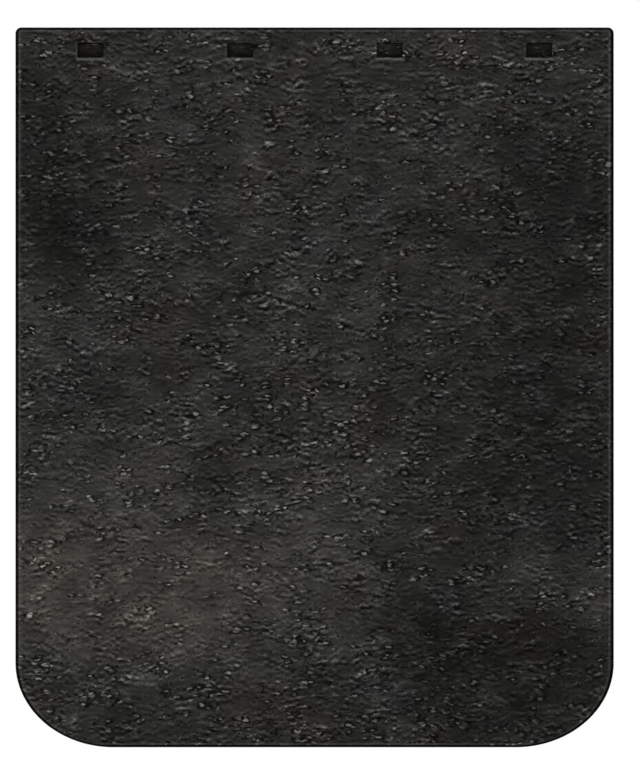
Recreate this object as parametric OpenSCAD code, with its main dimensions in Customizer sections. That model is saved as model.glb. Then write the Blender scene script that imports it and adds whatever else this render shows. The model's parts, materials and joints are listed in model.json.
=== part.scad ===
// Mud flap for a truck or trailer: one moulded sheet of rubber that hangs from a row of slots.
//
// The sheet hangs in the XZ plane with +Z up. Its flat back face, which lies against the hanger,
// is at y = 0, and its grained front face looks towards -Y. The origin is the middle of the row
// of slots, on the back face.
//
// The sheet is a single moulding. It is drawn as level zones so that it can bend: a band held
// stiff by the hanger, three panels, and a flex above each panel where the rubber curves.

/* [Sheet] */
// Width of the sheet, side to side
flap_w = 609.6; // [560:0.1:760]
// Height of the sheet, top edge to bottom edge
flap_h = 733.5; // [700:0.5:915]
// Thickness of the sheet
sheet_t = 9.5; // [6:0.5:13]
// How far each bottom corner's curve reaches along the bottom edge
bottom_corner_w = 100; // [20:1:110]
// How far each bottom corner's curve reaches up the side
bottom_corner_h = 86; // [20:1:110]
// Radius of the two top corners
top_corner_r = 6; // [2:0.5:15]

/* [Hanger slots] */
// Number of slots in the row
slot_count = 4; // [2:1:4]
// Distance between the centres of neighbouring slots
slot_pitch = 152.4; // [100:0.1:170]
// Width of a slot, along the row
slot_w = 25.4; // [15:0.1:40]
// Height of a slot
slot_h = 14.3; // [10:0.1:20]
// Radius of a slot's corners
slot_corner_r = 1; // [0.5:0.1:3]
// Distance from the top edge down to the centres of the slots
slot_drop = 23.8; // [18:0.1:32]
// Thickness of the moulded skin that closes the back of each slot until it is pushed out
skin_t = 1.2; // [0.8:0.1:2]

/* [Bending] */
// Height of the band that the hanger holds stiff, from the top edge
band_h = 60; // [50:1:80]
// Height of each flex
flex_h = 100; // [60:1:110]
// Height of the upper and of the middle panel
panel_h = 110; // [60:1:115]

/* [Hidden] */
$fn = 96;
rubber_colour = [0.17, 0.17, 0.16];
flex_colour = [0.2, 0.2, 0.19];

// How far a cutting shape runs past the face it cuts
over = 1;

// Heights, all measured from the row of slots
top_z = slot_drop;
bottom_z = top_z - flap_h;
band_bottom_z = top_z - band_h;
bend_pitch = flex_h + panel_h;

// Top and bottom of a flex, counted from 0 at the top of the sheet
function flex_top_z(i) = band_bottom_z - i * bend_pitch;
function flex_bottom_z(i) = flex_top_z(i) - flex_h;

// Position of a slot along the row, counted from 0 at the -X end
function slot_x(i) = (i - (slot_count - 1) / 2) * slot_pitch;

// What a rounded corner takes off a square one, for a corner at the origin
// with the shape on its +X +Y side. The curve is a quarter of an ellipse,
// and reach holds its half axes.
module corner_waste(reach) {
    difference() {
        translate([-over, -over]) square([reach.x + over, reach.y + over]);
        translate(reach) scale(reach) circle(1);
    }
}

// Rectangle standing on y = 0, centred on x = 0, with rounded corners
module rounded_rectangle(w, h, bottom_reach, top_reach) {
    difference() {
        translate([-w / 2, 0]) square([w, h]);
        for (side = [0, 1]) mirror([side, 0]) {
            translate([-w / 2, 0]) corner_waste(bottom_reach);
            translate([-w / 2, h]) mirror([0, 1]) corner_waste(top_reach);
        }
    }
}

// Whole outline of the sheet, seen from the front
module sheet_outline() {
    translate([0, bottom_z])
        rounded_rectangle(
            flap_w, flap_h, [bottom_corner_w, bottom_corner_h], [top_corner_r, top_corner_r]
        );
}

// Outlines of all the slots, seen from the front
module slot_outlines() {
    for (i = [0 : slot_count - 1])
        translate([slot_x(i), -slot_h / 2])
            rounded_rectangle(
                slot_w, slot_h, [slot_corner_r, slot_corner_r], [slot_corner_r, slot_corner_r]
            );
}

// Turns an outline into a slab that stands on its back face, y = 0, and is t thick
module slab(t) {
    rotate([90, 0, 0]) linear_extrude(height = t) children();
}

// Part of the sheet between two heights, from face to face
module sheet_zone(zone_top, zone_bottom) {
    slab(sheet_t) intersection() {
        sheet_outline();
        translate([-flap_w / 2 - over, zone_bottom])
            square([flap_w + 2 * over, zone_top - zone_bottom]);
    }
}

// Top of the sheet with the row of slots cut right through it
module mounting_band() {
    color(rubber_colour) difference() {
        sheet_zone(top_z, band_bottom_z);
        translate([0, over, 0]) slab(sheet_t + 2 * over) slot_outlines();
    }
}

// Thin skins across the backs of the slots, level with the back face
module slot_skins() {
    color(rubber_colour) slab(skin_t) slot_outlines();
}

// Stretch of sheet that curves between the band and the upper panel
module upper_flex() {
    color(flex_colour) sheet_zone(flex_top_z(0), flex_bottom_z(0));
}

// Panel below the first bend
module upper_panel() {
    color(rubber_colour) sheet_zone(flex_bottom_z(0), flex_top_z(1));
}

// Stretch of sheet that curves between the upper and the middle panel
module middle_flex() {
    color(flex_colour) sheet_zone(flex_top_z(1), flex_bottom_z(1));
}

// Panel below the second bend
module middle_panel() {
    color(rubber_colour) sheet_zone(flex_bottom_z(1), flex_top_z(2));
}

// Stretch of sheet that curves between the middle and the lower panel
module lower_flex() {
    color(flex_colour) sheet_zone(flex_top_z(2), flex_bottom_z(2));
}

// Free end of the sheet, with the large rounded corners
module lower_panel() {
    color(rubber_colour) sheet_zone(flex_bottom_z(2), bottom_z);
}

mounting_band();
slot_skins();
upper_flex();
upper_panel();
middle_flex();
middle_panel();
lower_flex();
lower_panel();
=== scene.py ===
"""Looks of a moulded rubber mud flap: grained sheet, slot skins, rubber material, studio."""

import json
import math

import bpy
import numpy as np
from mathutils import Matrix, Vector

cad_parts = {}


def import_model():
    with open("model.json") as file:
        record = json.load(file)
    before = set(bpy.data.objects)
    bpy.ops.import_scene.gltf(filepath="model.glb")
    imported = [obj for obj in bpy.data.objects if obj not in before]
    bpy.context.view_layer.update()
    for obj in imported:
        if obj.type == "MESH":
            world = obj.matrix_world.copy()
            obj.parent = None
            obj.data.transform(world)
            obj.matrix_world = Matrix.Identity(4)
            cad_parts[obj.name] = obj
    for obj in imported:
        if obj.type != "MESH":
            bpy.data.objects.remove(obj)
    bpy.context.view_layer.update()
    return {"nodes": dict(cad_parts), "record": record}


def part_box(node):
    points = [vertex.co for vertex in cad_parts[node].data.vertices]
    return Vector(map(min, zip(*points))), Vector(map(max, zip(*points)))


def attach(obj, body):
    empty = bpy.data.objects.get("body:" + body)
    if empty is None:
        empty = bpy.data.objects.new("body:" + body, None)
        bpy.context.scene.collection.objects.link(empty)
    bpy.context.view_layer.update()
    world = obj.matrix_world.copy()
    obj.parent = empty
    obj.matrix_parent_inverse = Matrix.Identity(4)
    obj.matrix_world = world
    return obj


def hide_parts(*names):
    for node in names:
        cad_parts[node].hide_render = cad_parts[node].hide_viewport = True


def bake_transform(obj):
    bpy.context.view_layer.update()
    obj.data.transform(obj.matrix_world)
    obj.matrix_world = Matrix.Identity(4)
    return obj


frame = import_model()

MM = 0.001
SEED = 20261

# ---- sizes of the sheet, read from the frame ----
BAND_LOW, BAND_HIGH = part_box("mounting_band")
PANEL_LOW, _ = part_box("lower_panel")
SKIN_LOW, SKIN_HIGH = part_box("slot_skins")
HALF_W = BAND_HIGH.x
TOP_Z, BOTTOM_Z = BAND_HIGH.z, PANEL_LOW.z
FRONT_Y, BACK_Y = BAND_LOW.y, BAND_HIGH.y


def corner_width(node, level):
    """How far the corners at a CAD node's level edge reach along it."""
    edge = [abs(v.co.x) for v in frame["nodes"][node].data.vertices if abs(v.co.z - level) < MM / 100]
    return HALF_W - max(edge)


def corner_height(node):
    """How far the bottom corners of a CAD node reach up its sides."""
    side = [v.co.z for v in frame["nodes"][node].data.vertices if HALF_W - abs(v.co.x) < MM / 100]
    return min(side) - BOTTOM_Z


CORNER_W = corner_width("lower_panel", BOTTOM_Z)
CORNER_H = corner_height("lower_panel")
TOP_R = corner_width("mounting_band", TOP_Z)

SLOTS = next(m["dims"] for m in frame["record"]["mounts"] if m["name"] == "hanger_slots")
SLOT_W = SLOTS["slot_length_mm"] * MM
SLOT_H = SKIN_HIGH.z - SKIN_LOW.z
SLOT_X = [(i - (SLOTS["count"] - 1) / 2) * SLOTS["spacing_x_mm"] * MM for i in range(SLOTS["count"])]
SKIN_T = SKIN_HIGH.y - SKIN_LOW.y

# ---- how finely the sheet is meshed, and its small forms ----
CELL_X, CELL_Z = 2.2 * MM, 1.2 * MM
ARC_CELL, ARC_CELL_Z = 3.0 * MM, 1.2 * CELL_Z  # longest and highest step round a bottom corner
SEAM_STEP = 0.03 * MM  # two close rows beside a seam keep the shading of the face level up to it
ROUND_ANGLES = (0.45, 0.95, math.pi / 2)  # steps round a rounded edge, from the face to the wall
WALL_STEPS = 4
RIM_R = 2.0 * MM  # rounding between the front face and the sides
BACK_CHAMFER = 0.35 * MM
LIP_R = 0.9 * MM  # rounding at the mouth of a slot
MOUTH_X, MOUTH_Z = SLOT_W / 2 + LIP_R, SLOT_H / 2 + LIP_R  # half size of a slot in the face
SLOT_CORNER_R = 1.0 * MM
SKIN_OVERLAP = 0.15 * MM  # how far the skins are let into the slots' walls
SKIN_SOFT, SKIN_INSET = 0.3 * MM, 0.1 * MM  # their chamfer, and how far below the back they lie
WARP = 1.6 * MM  # how far the free part of the sheet stands out of flat
WANDER = 5 * MM  # how far the fibres of the relief wander up and down
SWELL = 0.12 * MM  # slow unevenness of a face

# ---- painted shade on the edges, and painted highlights beside them and round the slots ----
WALL_EDGE_SHADE = 0.6  # how far the sides share the painted shade of the rounded edge
EDGE_SHADE_FADE = 0.8 * MM  # depth over which the painted shade of a level edge fades into the face
LIGHT_LINE_DEPTH, LIGHT_LINE_HALF = 1.3 * MM, 0.6 * MM  # middle and half height of the painted highlight line behind it
HIGHLIGHT_REACH = 1.6 * MM  # how far out of a slot the painted highlight round it reaches
HIGHLIGHT_BELOW, HIGHLIGHT_BESIDE = 1.6, 0.8  # how light the painted highlight is below a slot and at its -X end


# ---- fields: rasters of seeded noise over the sheet, sampled at the vertices ----
class Field:
    """A raster over the sheet, with a margin round it, that can be sampled at any point."""

    STEP_X, STEP_Z = 1.0 * MM, 0.5 * MM
    MARGIN = 12 * MM
    X0, Z0 = -HALF_W - MARGIN, BOTTOM_Z - MARGIN
    NX = int((2 * HALF_W + 2 * MARGIN) / STEP_X) + 2
    NZ = int((TOP_Z - BOTTOM_Z + 2 * MARGIN) / STEP_Z) + 2

    def __init__(self, values):
        self.values = values

    def at(self, x, z):
        """Value at points, between the raster's own points on a straight line."""
        u = np.clip((x - self.X0) / self.STEP_X, 0, self.NX - 1.001)
        v = np.clip((z - self.Z0) / self.STEP_Z, 0, self.NZ - 1.001)
        i, j = u.astype(int), v.astype(int)
        a, b = u - i, v - j
        low = self.values[j, i] * (1 - a) + self.values[j, i + 1] * a
        high = self.values[j + 1, i] * (1 - a) + self.values[j + 1, i + 1] * a
        return low * (1 - b) + high * b


def noise(rng, size_x, size_z):
    """Smooth noise of unit spread whose lumps are about size_x wide and size_z high."""
    white = np.fft.rfft2(rng.standard_normal((Field.NZ, Field.NX)))
    fx = np.fft.rfftfreq(Field.NX, Field.STEP_X)[None, :]
    fz = np.fft.fftfreq(Field.NZ, Field.STEP_Z)[:, None]
    soft = np.exp(-((fx * size_x) ** 2 + (fz * size_z) ** 2) * math.pi**2 / 2)
    values = np.fft.irfft2(white * soft, (Field.NZ, Field.NX))
    return Field((values - values.mean()) / values.std())


def stamp_chips(rng, count, where):
    """Height of torn chips in a face: short raised lips, each with a pit under it.

    where: field that is high where there are more of them.
    """
    height = np.zeros((Field.NZ, Field.NX))
    reach_x, reach_z = 9, 14  # half size of the window one chip is drawn in, in raster points
    dx = np.arange(-reach_x, reach_x + 1)[None, :] * Field.STEP_X / MM
    dz = np.arange(-reach_z, reach_z + 1)[:, None] * Field.STEP_Z / MM
    made = 0
    while made < count:
        i = rng.integers(reach_x, Field.NX - reach_x)
        j = rng.integers(reach_z, Field.NZ - reach_z)
        length, width = rng.uniform(1.6, 3.6), rng.uniform(0.9, 1.6)  # mm
        slope, lift = rng.normal(0, 0.25), rng.uniform(0.4, 1.0)
        if rng.random() > 1 / (1 + math.exp(-2.2 * (where.values[j, i] - 1.0))):
            continue
        along = dx * math.cos(slope) + dz * math.sin(slope)
        across = -dx * math.sin(slope) + dz * math.cos(slope)
        lip = np.exp(-((along / length) ** 2) - (across / width) ** 2)
        pit = np.exp(-((along / length) ** 2) - ((across + 1.5 * width) / width) ** 2)
        window = height[j - reach_z : j + reach_z + 1, i - reach_x : i + reach_x + 1]
        window += lift * (lip - 0.8 * pit)
        made += 1
    return Field(height)


class Face:
    """Relief of one face of the sheet, in metres outwards, and the map of its torn chips."""

    def __init__(self, seed, chip_count, grain_height, chip_height):
        rng = np.random.default_rng(seed)
        self.drift = noise(rng, 55 * MM, 40 * MM)
        self.patch = noise(rng, 38 * MM, 26 * MM)
        self.swell = noise(rng, 70 * MM, 60 * MM)
        self.grain = noise(rng, 2.4 * MM, 2.1 * MM)
        self.fibre = noise(rng, 9 * MM, 2.4 * MM)
        self.chips = stamp_chips(rng, chip_count, self.patch)
        self.grain_height, self.chip_height = grain_height, chip_height

    def relief(self, x, z):
        """Height of the face above flat. The fibres run level but wander."""
        z_bent = z + WANDER * self.drift.at(x, z)
        rough = np.clip(0.8 + 0.4 * self.patch.at(x, z), 0.25, 1.8)
        lumps = self.grain.at(x, z) + 0.3 * self.fibre.at(x, z_bent)
        return (
            self.grain_height * rough * lumps
            + self.chip_height * self.chips.at(x, z)
            + SWELL * self.swell.at(x, z)
        )


FRONT = Face(SEED, 2200, 0.08 * MM, 0.4 * MM)
BACK = Face(SEED + 1, 700, 0.1 * MM, 0.3 * MM)


def warp(x, z):
    """How far the free part of the sheet stands out of flat; nothing at the band.

    It bows about once across its width, and rolls a little as it goes down.
    """
    free = np.clip((BAND_LOW.z - z) / (BAND_LOW.z - BOTTOM_Z), 0, 1)
    bow = np.cos(2.1 * math.pi * x / (2 * HALF_W) + 0.5) * 0.6
    roll = np.sin(1.7 * math.pi * free + 1.2 * x / HALF_W) * 0.5
    return WARP * free * free * (3 - 2 * free) * (bow + roll)


# ---- the sheet ----
def even_steps(start, end, cell):
    """Values from start to just short of end in an even number of equal steps of about cell."""
    count = 2 * max(1, round(abs(end - start) / cell / 2))
    return list(np.linspace(start, end, count + 1)[:-1])


def sheet_columns():
    """Positions across the sheet, as shares of its half width, with lines at the slots' mouths."""
    stops = [-HALF_W + RIM_R]
    for x in SLOT_X:
        stops += [x - MOUTH_X, x + MOUTH_X]
    stops.append(HALF_W - RIM_R)
    columns = sum((even_steps(a, b, CELL_X) for a, b in zip(stops, stops[1:])), [])
    return np.array(columns + [stops[-1]]) / (HALF_W - RIM_R)


COLUMNS = sheet_columns()


def bottom_corner_angles():
    """Angles of the rows round the ellipse of a bottom corner, with no step too high or too long."""
    angles = [0.0]
    while angles[-1] < math.pi / 2:
        drop = CORNER_H * max(math.cos(angles[-1]), 0.01)
        angles.append(angles[-1] + min(ARC_CELL_Z / drop, ARC_CELL / CORNER_W))
    stretch = math.pi / 2 / angles[-1]
    if len(angles) % 2 == 0:
        angles.insert(1, angles[1] / 2)
    return [-a * stretch for a in angles]


def side_rows(start, end):
    """Rows from start to just short of end, between straight sides."""
    return [(z, HALF_W - RIM_R, 0.0) for z in even_steps(start, end, CELL_Z)]


def top_rows():
    """Rows round the top corners and down to the lower edge of the slots."""
    low, arc = TOP_Z - TOP_R, TOP_R - RIM_R
    rows = []
    for angle in even_steps(math.pi / 2, 0, CELL_Z / TOP_R):
        rows.append((low + arc * math.sin(angle), HALF_W - TOP_R + arc * math.cos(angle), angle))
    return rows + side_rows(low, MOUTH_Z) + side_rows(MOUTH_Z, -MOUTH_Z)


def bottom_rows():
    """Rows round the bottom corners."""
    rows = []
    for angle in bottom_corner_angles():
        outward = math.atan2(CORNER_W * math.sin(angle), CORNER_H * math.cos(angle))
        height = BOTTOM_Z + CORNER_H + CORNER_H * math.sin(angle) - RIM_R * math.sin(outward)
        half_width = HALF_W - CORNER_W * (1 - math.cos(angle)) - RIM_R * math.cos(outward)
        rows.append((height, half_width, outward))
    return rows


def sheet_rows(top, bottom):
    """Rows of a piece from top to bottom: (height, half width, outward angle at the side)."""
    side = HALF_W - RIM_R
    if top == TOP_Z:
        rows, stop = top_rows(), -MOUTH_Z
    else:
        rows, stop = [(top, side, 0.0), (top - SEAM_STEP, side, 0.0)], top - 2 * SEAM_STEP
    if bottom == BOTTOM_Z:
        return rows + side_rows(stop, BOTTOM_Z + CORNER_H) + bottom_rows()
    last = bottom + 2 * SEAM_STEP
    rows += side_rows(stop, last)
    return rows + [(z, side, 0.0) for z in (last, last - SEAM_STEP, bottom)]


class Surface:
    """Points, faces and point values of a mesh that is being put together."""

    def __init__(self):
        self.x, self.y, self.z = [], [], []
        self.front, self.back, self.rim, self.painted_light = [], [], [], []
        self.quads, self.triangles, self.flat = [], [], []
        self.count = 0

    def add(self, x, y, z, front, back, rim, painted_light=0):
        """Adds points and returns their numbers, in the shape of x.

        front, back: how much of each face's relief they take. rim: how far they are on the edge that is
        painted dark as shade.
        worn: how far they are painted light: highlight lines, and the fronts of the slot skins.
        """
        shape = np.shape(x)
        stores = (self.x, self.y, self.z, self.front, self.back, self.rim, self.painted_light)
        for store, value in zip(stores, (x, y, z, front, back, rim, painted_light)):
            store.append(np.broadcast_to(np.asarray(value, float), shape).ravel())
        numbers = self.count + np.arange(int(np.prod(shape))).reshape(shape)
        self.count += numbers.size
        return numbers

    def strip(self, near, far):
        """Four-sided faces between two loops of equal length."""
        near, far = np.append(near, near[0]), np.append(far, far[0])
        self.quads.append(np.stack([near[:-1], near[1:], far[1:], far[:-1]], 1))

    def stitch(self, fine, coarse):
        """Three-sided faces between a loop and one with half as many points."""
        fine, coarse = np.append(fine, fine[0]), np.append(coarse, coarse[0])
        a, b, c = fine[:-1:2], fine[1::2], fine[2::2]
        p, q = coarse[:-1], coarse[1:]
        for corners in ((a, b, p), (b, q, p), (b, c, q)):
            self.triangles.append(np.stack(corners, 1))

    def to_object(self, name, material):
        """Finishes the points with relief and warp, and makes the Blender object."""
        stores = (self.x, self.y, self.z, self.front, self.back, self.rim, self.painted_light)
        x, y, z, front, back, rim, painted_light = (np.concatenate(v) for v in stores)
        formed = y - front * FRONT.relief(x, z) + back * BACK.relief(x, z) + warp(x, z)
        mesh = self.to_mesh(name, np.stack([x, formed, z], 1))
        # lips of the torn chips, painted lighter in the shader: partly light grains, partly painted
        # glints
        crumb = np.clip(FRONT.chips.at(x, z), 0, 1.5) * front
        crumb += np.clip(BACK.chips.at(x, z), 0, 1.5) * back
        store = mesh.attributes.new("rest_point", "FLOAT_VECTOR", "POINT")
        store.data.foreach_set("vector", np.stack([x, y, z], 1).astype(np.float32).ravel())
        for label, values in (("rim", rim), ("painted_light", painted_light), ("crumb", crumb)):
            store = mesh.attributes.new(label, "FLOAT", "POINT")
            store.data.foreach_set("value", values.astype(np.float32))
        made = bpy.data.objects.new(name, mesh)
        bpy.context.scene.collection.objects.link(made)
        mesh.materials.append(material)
        return made

    def to_mesh(self, name, points):
        """Mesh of the faces, shaded smooth but for the level planes between pieces."""
        quads = np.concatenate(self.quads)
        triangles = np.concatenate(self.triangles) if self.triangles else np.zeros((0, 3), int)
        mesh = bpy.data.meshes.new(name)
        mesh.vertices.add(len(points))
        mesh.vertices.foreach_set("co", points.astype(np.float32).ravel())
        corners = np.concatenate([quads.ravel(), triangles.ravel()])
        mesh.loops.add(len(corners))
        mesh.loops.foreach_set("vertex_index", corners.astype(np.int32))
        triangle_starts = len(quads) * 4 + np.arange(len(triangles)) * 3
        starts = np.concatenate([np.arange(len(quads)) * 4, triangle_starts])
        mesh.polygons.add(len(starts))
        mesh.polygons.foreach_set("loop_start", starts.astype(np.int32))
        mesh.update(calc_edges=True)
        mesh.validate()
        mesh.polygons.foreach_set("use_smooth", ~self.is_cap(mesh))
        return mesh

    def is_cap(self, mesh):
        """Which faces lie in a level plane where two pieces of the sheet meet."""
        normals = np.zeros(len(mesh.polygons) * 3, np.float32)
        mesh.polygons.foreach_get("normal", normals)
        centres = np.zeros(len(mesh.polygons) * 3, np.float32)
        mesh.polygons.foreach_get("center", centres)
        level = np.abs(normals[2::3]) > 0.999
        at_cap = np.zeros(len(level), bool)
        for height in self.flat:
            at_cap |= np.abs(centres[2::3] - height) < MM / 100
        return level & at_cap


def around(grid):
    """The numbers round the outside of a grid of points, clockwise from its first corner."""
    return np.concatenate([grid[0, :-1], grid[:-1, -1], grid[-1, :0:-1], grid[:0:-1, 0]])


def outside_slots(x, z):
    """Which cells of a grid of points have their centre outside the slots."""
    centre_x = (x[:-1, :-1] + x[1:, 1:]) / 2
    centre_z = (z[:-1, :-1] + z[1:, 1:]) / 2
    in_width = np.any([np.abs(centre_x - s) < MOUTH_X for s in SLOT_X], 0)
    return ~(in_width & (np.abs(centre_z) < MOUTH_Z))


def cells(grid, facing_front, keep=...):
    """Faces of a grid of points. keep: which of its cells to make, if not all."""
    a, b, c, d = grid[:-1, :-1], grid[1:, :-1], grid[1:, 1:], grid[:-1, 1:]
    order = (a, b, c, d) if facing_front else (a, d, c, b)
    return np.stack([corner[keep].ravel() for corner in order], 1)


def slot_mouth(grid, x, z, centre):
    """The numbers round one slot's mouth, anticlockwise."""
    slack = LIP_R / 2
    inside = (np.abs(x - centre) < MOUTH_X + slack) & (np.abs(z) < MOUTH_Z + slack)
    rows, columns = np.where(inside)
    block = grid[rows.min() : rows.max() + 1, columns.min() : columns.max() + 1]
    return around(block)[::-1]


def slot_highlight(x, z):
    """How far points are painted light round the slots as a highlight: most below each slot, less at its
    -X end.
    """
    share = np.zeros_like(x)
    below_z = (z < -SLOT_H / 2) & (z > -MOUTH_Z - HIGHLIGHT_REACH)
    for centre in SLOT_X:
        below = (np.abs(x - centre) < MOUTH_X + MM) & below_z
        beside = (x > centre - MOUTH_X - HIGHLIGHT_REACH) & (x < centre - SLOT_W / 2) & (np.abs(z) < MOUTH_Z)
        share = np.maximum(share, np.maximum(HIGHLIGHT_BELOW * below, HIGHLIGHT_BESIDE * beside))
    return share


def slot_outline(x, z, inset):
    """Points of a slot's mouth moved inwards, with the corners rounded."""
    x, z = x * (MOUTH_X - inset) / MOUTH_X, z * (MOUTH_Z - inset) / MOUTH_Z
    core_x, core_z = MOUTH_X - inset - SLOT_CORNER_R, MOUTH_Z - inset - SLOT_CORNER_R
    out_x, out_z = np.abs(x) - core_x, np.abs(z) - core_z
    corner = (out_x > 0) & (out_z > 0)
    far = np.where(corner, np.hypot(out_x, out_z), 1)
    x = np.where(corner, np.sign(x) * (core_x + SLOT_CORNER_R * out_x / far), x)
    z = np.where(corner, np.sign(z) * (core_z + SLOT_CORNER_R * out_z / far), z)
    return x, z


def wall_profile(front_r, back_y):
    """Steps of a wall from the front face to back_y, with a rounding of front_r at the front.

    Each is (outward share of front_r, y, share of the front's relief, how far painted dark as edge
    shade).
    """
    steps = []
    for angle in ROUND_ANGLES:
        steps.append((math.sin(angle), FRONT_Y + front_r * (1 - math.cos(angle)), math.cos(angle), 1.0))
    levels = np.linspace(FRONT_Y + front_r, back_y, WALL_STEPS + 1)
    return steps + [(1.0, y, 0.0, WALL_EDGE_SHADE) for y in levels[1:]]


def mark_edge(rim, painted_light, depth):
    """Paints shade on the rounding along a level edge, and a highlight line behind it.

    depth: how far the points lie in from the rounding of that edge.
    """
    np.maximum(rim, 1 - depth / EDGE_SHADE_FADE, out=rim)
    np.maximum(painted_light, np.abs(depth - LIGHT_LINE_DEPTH) < LIGHT_LINE_HALF, out=painted_light)


def face_marks(x, z, top, bottom):
    """How far the front points of a piece are painted dark as edge shade, and how far painted light as
    highlights.
    """
    rim, painted_light = np.zeros_like(x), np.zeros_like(x)
    # painted highlight on the second column in from each side, painted shade on the outermost
    painted_light[:, [1, -2]] = 1
    rim[:, [0, -1]] = 1
    if top == TOP_Z:
        painted_light = np.maximum(painted_light, slot_highlight(x, z))
        mark_edge(rim, painted_light, z[0, :] - z)
    if bottom == BOTTOM_Z:
        mark_edge(rim, painted_light, z - z[-1, :])
    return rim, painted_light


def outward_shares(shape, angle, top, bottom):
    """Direction out of the sheet, as x and z, at the outermost points of a piece."""
    out_x, out_z = np.zeros(shape), np.zeros(shape)
    if top == TOP_Z:
        out_z[0, :] = 1
    if bottom == BOTTOM_Z:
        out_z[-1, :] = -1
    out_x[:, 0], out_x[:, -1] = -np.cos(angle), np.cos(angle)
    out_z[:, 0] = out_z[:, -1] = np.sin(angle)
    return out_x, out_z


def add_rim(s, loop, x, z, out_x, out_z):
    """Adds the rounded edge and the side wall outside a loop, both painted dark as shade, and returns the
    wall's last loop.
    """
    near = loop
    for outward, y, left, dark in wall_profile(RIM_R, BACK_Y - BACK_CHAMFER):
        far = s.add(x + out_x * outward * RIM_R, y, z + out_z * outward * RIM_R, left, 0, dark)
        s.strip(near, far)
        near = far
    return near


def add_slot_wall(s, mouth, x, z, centre):
    """Adds the rounded lip and the wall of a slot, and returns the wall's last loop."""
    light = slot_highlight(x, z)
    near = mouth
    for inward, y, left, _ in wall_profile(LIP_R, BACK_Y - BACK_CHAMFER):
        px, pz = slot_outline(x - centre, z, inward * LIP_R)
        # the slot's walls are painted dark as shade, and its lip below and at the -X end painted light as
        # a highlight
        far = s.add(px + centre, y, pz, left, 0, np.clip(1 - light, 0, 1), left * light)
        s.strip(near, far)
        near = far
    return near


def sheet_piece(name, top, bottom, material):
    """A closed stretch of the sheet between two heights; the back has every second row and column."""
    height, half_width, angle = (np.array(v) for v in zip(*sheet_rows(top, bottom)))
    x = half_width[:, None] * COLUMNS[None, :]
    z = np.repeat(height[:, None], len(COLUMNS), 1)
    back_x, back_z = x[::2, ::2], z[::2, ::2]
    s = Surface()
    rim, painted_light = face_marks(x, z, top, bottom)
    front = s.add(x, FRONT_Y, z, 1, 0, rim, painted_light)
    # the back's edges take part of the painted edge shade too
    back = s.add(back_x, BACK_Y, back_z, 0, 1, rim[::2, ::2] * WALL_EDGE_SHADE)
    s.quads.append(cells(front, True, outside_slots(x, z)))
    s.quads.append(cells(back, False, outside_slots(back_x, back_z)))

    loop = around(front)
    grids = (x, z, *outward_shares(x.shape, angle, top, bottom))
    s.stitch(add_rim(s, loop, *(v.ravel()[loop] for v in grids)), around(back))
    if top == TOP_Z:
        for centre in SLOT_X:
            mouth = slot_mouth(front, x, z, centre)
            wall_end = add_slot_wall(s, mouth, x.ravel()[mouth], z.ravel()[mouth], centre)
            s.stitch(wall_end, slot_mouth(back, back_x, back_z, centre))
    s.flat = [h for h in (top, bottom) if BOTTOM_Z < h < TOP_Z]
    return s.to_object(name, material)


def slot_skins(name, material):
    """The four thin skins that close the backs of the slots, let a little into the slots' walls."""
    s = Surface()
    half_w = SLOT_W / 2 + SKIN_OVERLAP - SKIN_SOFT
    half_h = SLOT_H / 2 + SKIN_OVERLAP - SKIN_SOFT
    columns, rows = np.linspace(-1, 1, 29), np.linspace(1, -1, 17)  # about 0.9 mm apart
    for centre in SLOT_X:
        x = np.repeat(columns[None, :], len(rows), 0) * half_w + centre
        z = np.repeat(rows[:, None], len(columns), 1) * half_h
        # the skins' fronts, seen down the slots, are painted lighter to stand in for light in the slots'
        # shade
        front = s.add(x, BACK_Y - SKIN_T, z, front=0.7, back=0, rim=0, painted_light=0.8)
        back = s.add(x, BACK_Y - SKIN_INSET, z, front=0, back=0.5, rim=0)
        s.quads.append(cells(front, True))
        s.quads.append(cells(back, False))
        near = around(front)
        edge_x, edge_z = (v.ravel()[near - front[0, 0]] for v in (x, z))
        side_x = np.where(np.abs(edge_x - centre) > half_w - MM / 100, np.sign(edge_x - centre), 0)
        side_z = np.where(np.abs(edge_z) > half_h - MM / 100, np.sign(edge_z), 0)
        wall_x, wall_z = edge_x + side_x * SKIN_SOFT, edge_z + side_z * SKIN_SOFT
        for y in (BACK_Y - SKIN_T + SKIN_SOFT, BACK_Y - SKIN_INSET - SKIN_SOFT):
            far = s.add(wall_x, y, wall_z, front=0, back=0, rim=0)
            s.strip(near, far)
            near = far
        s.strip(near, around(back))
    return s.to_object(name, material)


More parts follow.
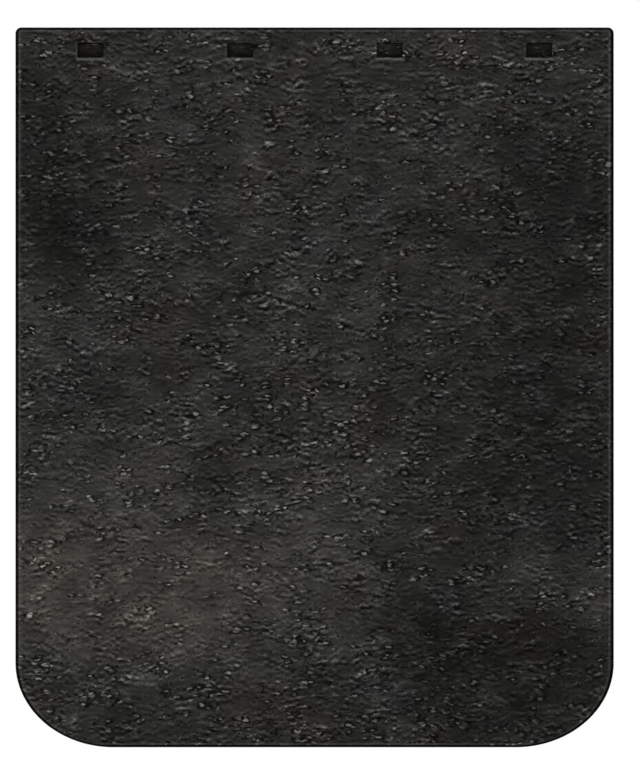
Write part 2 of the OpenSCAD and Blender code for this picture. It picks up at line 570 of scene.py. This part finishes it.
# ---- the rubber ----
class Shader:
    """A short way to write a node material."""

    def __init__(self, name):
        self.material = bpy.data.materials.new(name)
        self.material.use_nodes = True
        self.tree = self.material.node_tree
        self.surface = self.tree.nodes["Principled BSDF"]

    def node(self, kind, inputs=(), **settings):
        """Adds a node and fills its inputs with values or with other nodes' outputs."""
        made = self.tree.nodes.new("ShaderNode" + kind)
        for key, value in settings.items():
            setattr(made, key, value)
        for key, value in dict(inputs).items():
            self.put(made.inputs[key], value)
        return made

    def put(self, socket, value):
        """Links another node's output to a socket, or sets its value."""
        if isinstance(value, bpy.types.NodeSocket):
            self.tree.links.new(value, socket)
        else:
            socket.default_value = value

    def math(self, operation, *values):
        """One step of arithmetic on numbers."""
        return self.node("Math", enumerate(values), operation=operation).outputs[0]

    def vector(self, operation, *values):
        """One step of arithmetic on vectors."""
        return self.node("VectorMath", enumerate(values), operation=operation).outputs[0]

    def scale(self, vector, size):
        """A vector, or a colour, times a number."""
        return self.node("VectorMath", {0: vector, "Scale": size}, operation="SCALE").outputs[0]

    def swing(self, value, size):
        """A value from 0 to 1 made to swing size / 2 both ways about 0."""
        return self.math("MULTIPLY", self.math("SUBTRACT", value, 0.5), size)

    def remap(self, value, low, high, to_low=0.0, to_high=1.0, smooth=False):
        """A value between low and high carried over to the range to_low to to_high."""
        made = self.node(
            "MapRange",
            {"Value": value, "From Min": low, "From Max": high, "To Min": to_low, "To Max": to_high},
            interpolation_type="SMOOTHSTEP" if smooth else "LINEAR",
        )
        return made.outputs["Result"]

    def noise(self, point, lump_mm, detail=2.0, roughness=0.55):
        """Noise from 0 to 1 whose lumps measure lump_mm (x, y, z)."""
        made = self.node(
            "TexNoise",
            {
                "Vector": self.vector("DIVIDE", point, lump_mm),
                "Scale": 1.0,
                "Detail": detail,
                "Roughness": roughness,
            },
        )
        return made.outputs["Fac"]

    def flecks(self, point, cell_x, cell_z, share, least, most):
        """Scattered flecks, at most one to a cell of the sheet: up to 1 inside, below 0 in a ring around,
        which paints shade round a light fleck and light round a dark one.

        cell_x, cell_z: size of a cell in mm. share: share of the cells that have a fleck. least, most:
        radius of a fleck in cells.
        """
        part = self.node("SeparateXYZ", {"Vector": point}).outputs
        across = self.math("DIVIDE", part["X"], cell_x)
        across = self.math("ADD", across, self.math("MULTIPLY", part["Y"], DEPTH_SHIFT))
        up = self.math("DIVIDE", part["Z"], cell_z)
        flat = self.node("CombineXYZ", {"X": across, "Y": up}).outputs[0]
        made = self.node("TexVoronoi", {"Vector": flat, "Scale": 1.0}, voronoi_dimensions="2D")
        pick = self.node("SeparateXYZ", {"Vector": made.outputs["Color"]}).outputs
        radius = self.remap(pick["Y"], 0.0, 1.0, least, most)
        reach = self.math("DIVIDE", made.outputs["Distance"], radius)
        core = self.remap(reach, 1.15, 0.0, smooth=True)
        ring_end = self.remap(reach, 2.0, 1.1, smooth=True)
        ring_start = self.remap(reach, 1.1, 0.6, smooth=True)
        ring = self.math("MULTIPLY", self.math("SUBTRACT", ring_end, ring_start), RING)
        strength = self.math("MULTIPLY", pick["Z"], self.remap(pick["Z"], 0.0, 1.0, 0.3))
        strength = self.math("MULTIPLY", strength, self.math("LESS_THAN", pick["X"], share))
        return self.math("MULTIPLY", self.math("SUBTRACT", core, ring), strength)

    def mix(self, share, a, b):
        """Colour a, or b as far as share goes from 0 to 1."""
        made = self.node("Mix", data_type="RGBA")
        for socket, value in zip((made.inputs[0], made.inputs[6], made.inputs[7]), (share, a, b)):
            self.put(socket, value)
        return made.outputs[2]

    def spots(self, point, spots):
        """Sum of soft spots of the sheet, each (x, z, radius_x, radius_z, strength) in mm."""
        total = 0.0
        for x, z, radius_x, radius_z, strength in spots:
            off = self.vector("SUBTRACT", point, (x, 0.0, z))
            off = self.vector("MULTIPLY", off, (1 / radius_x, 0.0, 1 / radius_z))
            reach = self.node("VectorMath", {0: off}, operation="LENGTH").outputs["Value"]
            total = self.math("ADD", total, self.remap(reach, 1.0, 0.0, 0.0, strength, smooth=True))
        return total


RIDGE_MM = (5.4, 4.8, 4.8)  # size of the grain's ridges: x, y, z
RIDGE_STEP = 2.0  # how far above and below a point, in mm, the grain is compared with it
BUMP_HEIGHT = 1.2 * MM
RING = 0.8  # how dark the ring round a fleck is, compared with how light the fleck is: painted shade round light flecks, painted light round dark hollows
DEPTH_SHIFT = 0.3  # cells the flecks move across per mm of depth, so the back is no copy of the front
PLAIN = 0.0145  # how light plain rubber is
# near black painted on the edges and slot walls as shade
EDGE_SHADE_BLACK = (0.0012, 0.0012, 0.0012, 1)
PALE_HUE = (1.06, 1.0, 0.87, 1)

# Tints along a slow noise, from neutral over olive to a faint brown
HUES = (
    (0.36, (1.0, 1.0, 0.97, 1)),
    (0.44, (1.0, 1.01, 0.9, 1)),
    (0.57, (1.0, 1.01, 0.9, 1)),
    (0.64, (1.08, 0.97, 0.89, 1)),
)

# Soft areas of the face that are paler and warmer, and others that are darker: x, z, radii in mm,
# strength
PALE_AREAS = (
    (-170, -550, 270, 150, 1.1),
    (-290, -510, 90, 110, 0.6),
    (20, -470, 120, 140, 0.4),
    (-210, -415, 170, 75, 0.45),
    (-290, -275, 60, 70, 0.3),
    (25, -285, 80, 80, 0.3),
    (70, -440, 70, 90, 0.25),
    (210, -530, 65, 50, 0.55),
    (290, -555, 50, 60, 0.6),
)
DARK = (
    (-262, -168, 104, 115, 0.62),
    (-260, -60, 80, 90, 0.3),
    (250, -170, 140, 210, 0.45),
    (225, -400, 170, 210, 0.5),
    (205, -640, 190, 130, 0.55),
    (110, -560, 100, 140, 0.35),
    (-210, -700, 100, 60, 0.25),
)


def crumbs_and_pits(m, point, grain_point):
    """Scattered light flecks, crowded in places, partly light grains and partly painted glints, and small
    hollows painted dark as shade, both with ragged outlines.
    """
    lumps = m.vector("DIVIDE", point, (4.5, 4.0, 4.0))
    push = m.node("TexNoise", {"Vector": lumps, "Scale": 1.0}).outputs["Color"]
    push = m.vector("SUBTRACT", push, (0.5, 0.5, 0.5))
    ragged = m.vector("ADD", grain_point, m.vector("MULTIPLY", push, (7, 0, 6)))
    crowd = m.noise(point, (24.0, 20.0, 18.0), 1.0, 0.5)
    crumbs = m.flecks(ragged, 10.0, 4.5, m.remap(crowd, 0.43, 0.65, 0.02, 0.95), 0.28, 0.5)
    return crumbs, m.flecks(ragged, 5.6, 3.2, 0.5, 0.25, 0.45)


def ridge_crest(m, grain_point, ridge):
    """How far a point of the grain stands above the points over and under it."""
    above = m.noise(m.vector("ADD", grain_point, (0.0, 0.0, RIDGE_STEP)), RIDGE_MM, 0.5, 0.5)
    below = m.noise(m.vector("ADD", grain_point, (0.0, 0.0, -RIDGE_STEP)), RIDGE_MM, 0.5, 0.5)
    return m.math("SUBTRACT", ridge, m.math("MULTIPLY", m.math("ADD", above, below), 0.5))


def rubber_hue(m, point, pale_area):
    """Neutral to olive, with faint brown areas, and warmer in the paler areas."""
    ramp = m.node("ValToRGB", {"Fac": m.noise(point, (95.0, 80.0, 80.0), 2.0, 0.6)})
    stops = ramp.color_ramp.elements
    stops[0].position, stops[0].color = HUES[0]
    stops[1].position, stops[1].color = HUES[-1]
    for place, colour in HUES[1:-1]:
        stops.new(place).color = colour
    return m.mix(m.math("MINIMUM", pale_area, 1.0), ramp.outputs["Color"], PALE_HUE)


class Grain:
    """Fields of the rubber's grain over the sheet, each the output of a node."""

    def __init__(self, m, point):
        # the grain wanders up and down as it crosses the sheet
        lift = m.node("CombineXYZ", {"Z": m.swing(m.noise(point, (70, 70, 50)), 16.0)}).outputs[0]
        grain_point = m.vector("ADD", point, lift)
        self.clump = m.noise(point, (34.0, 30.0, 24.0), 2.0, 0.5)
        self.mottle = m.noise(point, (44.0, 36.0, 28.0), 2.0, 0.6)
        vary = m.remap(m.noise(point, (15.0, 13.0, 10.0), 1.0, 0.5), 0.3, 0.7, 0.15, 2.0)
        self.busy = m.math("MULTIPLY", m.remap(self.clump, 0.35, 0.68, 0.5, 1.5), vary)
        self.ridge = m.noise(grain_point, RIDGE_MM, 0.5, 0.5)
        self.ridge_shading = ridge_crest(m, grain_point, self.ridge)
        self.streak = m.noise(grain_point, (11.0, 6.0, 3.8), 1.0, 0.5)
        self.fine = m.noise(grain_point, (2.6, 2.2, 1.8), 1.0, 0.5)
        self.crumbs, self.shaded_pits = crumbs_and_pits(m, point, grain_point)


def grain_tone(m, grain, pale_area):
    """How far the grain makes the rubber lighter, or darker where it is below 0, with painted highlights
    on the tops of its ridges and painted shade in the grooves; the paler areas even it out.
    """
    # the ridge term paints highlights on the grain's ridge tops and shade in the grooves between them
    tone = m.math("ADD", m.math("MULTIPLY", grain.ridge_shading, 5.2), m.swing(grain.streak, 2.0))
    tone = m.math("ADD", tone, m.swing(grain.fine, 1.6))
    tone = m.math("MULTIPLY", tone, grain.busy)
    # light flecks, partly painted glints, and hollows painted dark as shade, each with a ring of the
    # other tone
    light, dark = m.math("MULTIPLY", grain.crumbs, 3.9), m.math("MULTIPLY", grain.shaded_pits, 1.7)
    tone = m.math("ADD", tone, m.math("SUBTRACT", light, dark))
    tone = m.math("MULTIPLY", tone, m.remap(pale_area, 0.0, 1.0, 1.0, 0.65))
    # the dark side goes further down than the light side goes up
    tone = m.math("MINIMUM", m.math("MINIMUM", tone, m.math("MULTIPLY", tone, 1.45)), 2.8)
    return m.math("ADD", tone, m.swing(grain.mottle, 2.8))


def grain_height(m, grain):
    """Height of the grain for the bump."""
    height = m.math("ADD", m.math("MULTIPLY", grain.ridge, 0.6), m.math("MULTIPLY", grain.streak, 0.25))
    height = m.math("ADD", height, m.math("MULTIPLY", grain.fine, 0.12))
    height = m.math("MULTIPLY", height, grain.busy)
    raised = m.math("SUBTRACT", grain.crumbs, m.math("MULTIPLY", grain.shaded_pits, 0.4))
    return m.math("ADD", height, m.math("MULTIPLY", raised, 0.15))


def rubber():
    """Black rubber with fibre streaks, torn chips and light flecks that are partly painted glints, paler
    areas, painted light and shade in the grain, and edges painted dark as shade.
    """
    m = Shader("flap_rubber")
    rest = m.node("Attribute", attribute_name="rest_point").outputs["Vector"]
    rim = m.node("Attribute", attribute_name="rim").outputs["Fac"]
    painted_light = m.node("Attribute", attribute_name="painted_light").outputs["Fac"]
    crumb = m.node("Attribute", attribute_name="crumb").outputs["Fac"]
    point = m.scale(rest, 1 / MM)
    grain = Grain(m, point)
    pale_area = m.math("MULTIPLY", m.spots(point, PALE_AREAS), m.remap(grain.clump, 0.3, 0.7, 0.75, 1.25))
    dark = m.math("MULTIPLY", m.spots(point, DARK), m.remap(grain.clump, 0.3, 0.7, 1.25, 0.75))

    # tone: 1 is plain rubber, and the grain doubles or halves it per step of 1 up or down
    area = m.math("MAXIMUM", m.math("SUBTRACT", m.math("ADD", 1.0, pale_area), dark), 0.3)
    tone = m.math("MULTIPLY", m.math("POWER", 2.0, grain_tone(m, grain, pale_area)), area)
    # lips of torn chips painted lighter, partly as glints
    tone = m.math("ADD", tone, m.math("MULTIPLY", crumb, 1.5))
    # painted highlights behind the edges and round the slots, and painted light on the slot skins' fronts
    tone = m.math("ADD", tone, m.math("MULTIPLY", painted_light, 1.2))
    colour = m.scale(m.scale(rubber_hue(m, point, pale_area), PLAIN), tone)
    # edges and slot walls painted near black as shade
    colour = m.mix(m.math("MULTIPLY", rim, 0.96), colour, EDGE_SHADE_BLACK)
    m.put(m.surface.inputs["Base Color"], colour)

    # the lips of torn chips shine a little more, and the edges painted dark as shade least of all
    rough = m.remap(grain.fine, 0.3, 0.7, 0.62, 0.82)
    rough = m.math("SUBTRACT", rough, m.math("MULTIPLY", crumb, 0.16))
    m.put(m.surface.inputs["Roughness"], m.math("MAXIMUM", rough, 0.38))
    m.put(m.surface.inputs["Specular IOR Level"], m.remap(rim, 0.0, 1.0, 0.045, 0.015))
    bump = m.node("Bump", {"Strength": 1.0, "Distance": BUMP_HEIGHT, "Height": grain_height(m, grain)})
    m.put(m.surface.inputs["Normal"], bump.outputs["Normal"])
    return m.material


# ---- the studio ----
FLOOR_DROP = 0.5  # how far under the flap the floor lies
CAMERA_DISTANCE = 14.0
FRAME_SIZE = 0.7845  # longer side of what the camera sees at the front face
CAMERA_SHIFT = Vector((5.5 * MM, 0, 2.4 * MM))  # a little right of and above the flap's middle
CENTRE = Vector((0, (FRONT_Y + BACK_Y) / 2, (TOP_Z + BOTTOM_Z) / 2))


def floor():
    """Pale floor under the hanging flap, fading to white with distance."""
    bpy.ops.mesh.primitive_circle_add(vertices=96, radius=12, fill_type="NGON")
    made = bpy.context.object
    made.name = "studio_floor"
    made.location = (0, 0, BOTTOM_Z - FLOOR_DROP)
    m = Shader("pale_floor")
    place = m.node("NewGeometry").outputs["Position"]
    reach = m.node("VectorMath", {0: place}, operation="LENGTH").outputs["Value"]
    m.put(m.surface.inputs["Base Color"], (0.8, 0.8, 0.79, 1))
    m.put(m.surface.inputs["Roughness"], 0.9)
    white = m.node("Emission", {"Color": (1, 1, 1, 1), "Strength": 1.0})
    seen = m.node("LightPath").outputs["Is Camera Ray"]
    share = m.math("MULTIPLY", seen, m.remap(reach, 1.5, 5.0, smooth=True))
    fade = m.node("MixShader", {0: share, 1: m.surface.outputs[0], 2: white.outputs[0]})
    m.put(m.tree.nodes["Material Output"].inputs["Surface"], fade.outputs[0])
    made.data.materials.append(m.material)


def area_light(name, place, size, watts):
    """Soft light at place, counted from the middle of the flap and turned towards it."""
    data = bpy.data.lights.new(name, "AREA")
    data.shape, data.size, data.size_y = "RECTANGLE", *size
    data.energy = watts
    made = bpy.data.objects.new(name, data)
    made.location = CENTRE + Vector(place)
    made.rotation_euler = (-Vector(place)).to_track_quat("-Z", "Y").to_euler()
    bpy.context.scene.collection.objects.link(made)


def world():
    """White to the camera, a dim even light to everything else."""
    made = bpy.data.worlds.new("studio")
    bpy.context.scene.world = made
    made.use_nodes = True
    nodes, links = made.node_tree.nodes, made.node_tree.links
    path = nodes.new("ShaderNodeLightPath")
    strength = nodes.new("ShaderNodeMapRange")
    strength.inputs["To Min"].default_value = 0.12
    strength.inputs["To Max"].default_value = 1.0
    links.new(path.outputs["Is Camera Ray"], strength.inputs["Value"])
    links.new(strength.outputs["Result"], nodes["Background"].inputs["Strength"])
    nodes["Background"].inputs["Color"].default_value = (1, 1, 1, 1)


def camera():
    """Long lens square to the front face, as far off as makes the sides look parallel."""
    data = bpy.data.cameras.new("photo_camera")
    data.sensor_width = 36
    data.lens = data.sensor_width * CAMERA_DISTANCE / FRAME_SIZE
    data.clip_end = 60
    made = bpy.data.objects.new("photo_camera", data)
    made.location = Vector((CENTRE.x, FRONT_Y - CAMERA_DISTANCE, CENTRE.z)) + CAMERA_SHIFT
    made.rotation_euler = (math.pi / 2, 0, 0)
    bpy.context.scene.collection.objects.link(made)
    bpy.context.scene.camera = made


def middle_height(node):
    """Height of the middle of a CAD node."""
    low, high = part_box(node)
    return (low.z + high.z) / 2


def build_flap():
    """The sheet in three stretches, each spanning one flex, in place of CAD parts that are hidden, and
    the slot skins.
    """
    material = rubber()
    seams = [TOP_Z, middle_height("upper_panel"), middle_height("middle_panel"), BOTTOM_Z]
    stretches = (
        ("flap_top", ("band", "upper"), "upper_flex", ("mounting_band", "upper_panel")),
        ("flap_middle", ("upper", "middle"), "middle_flex", ("middle_panel",)),
        ("flap_bottom", ("middle", "lower"), "lower_flex", ("lower_panel",)),
    )
    for (name, bodies, flex, others), top, bottom in zip(stretches, seams, seams[1:]):
        piece = sheet_piece(name, top, bottom, material)
        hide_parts(flex, *others)
        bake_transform(piece)
    skins = slot_skins("slot_knockouts", material)
    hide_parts("slot_skins")
    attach(skins, "band")


build_flap()
floor()
world()
area_light("key_above", (-0.8, -1.2, 3.3), (1.3, 0.9), 260)
area_light("fill_front", (-1.2, -3.6, 0.9), (1.8, 1.8), 13)
area_light("back_above", (0.9, 1.3, 3.2), (1.3, 0.9), 220)
camera()
bpy.context.scene.view_settings.view_transform = "Standard"
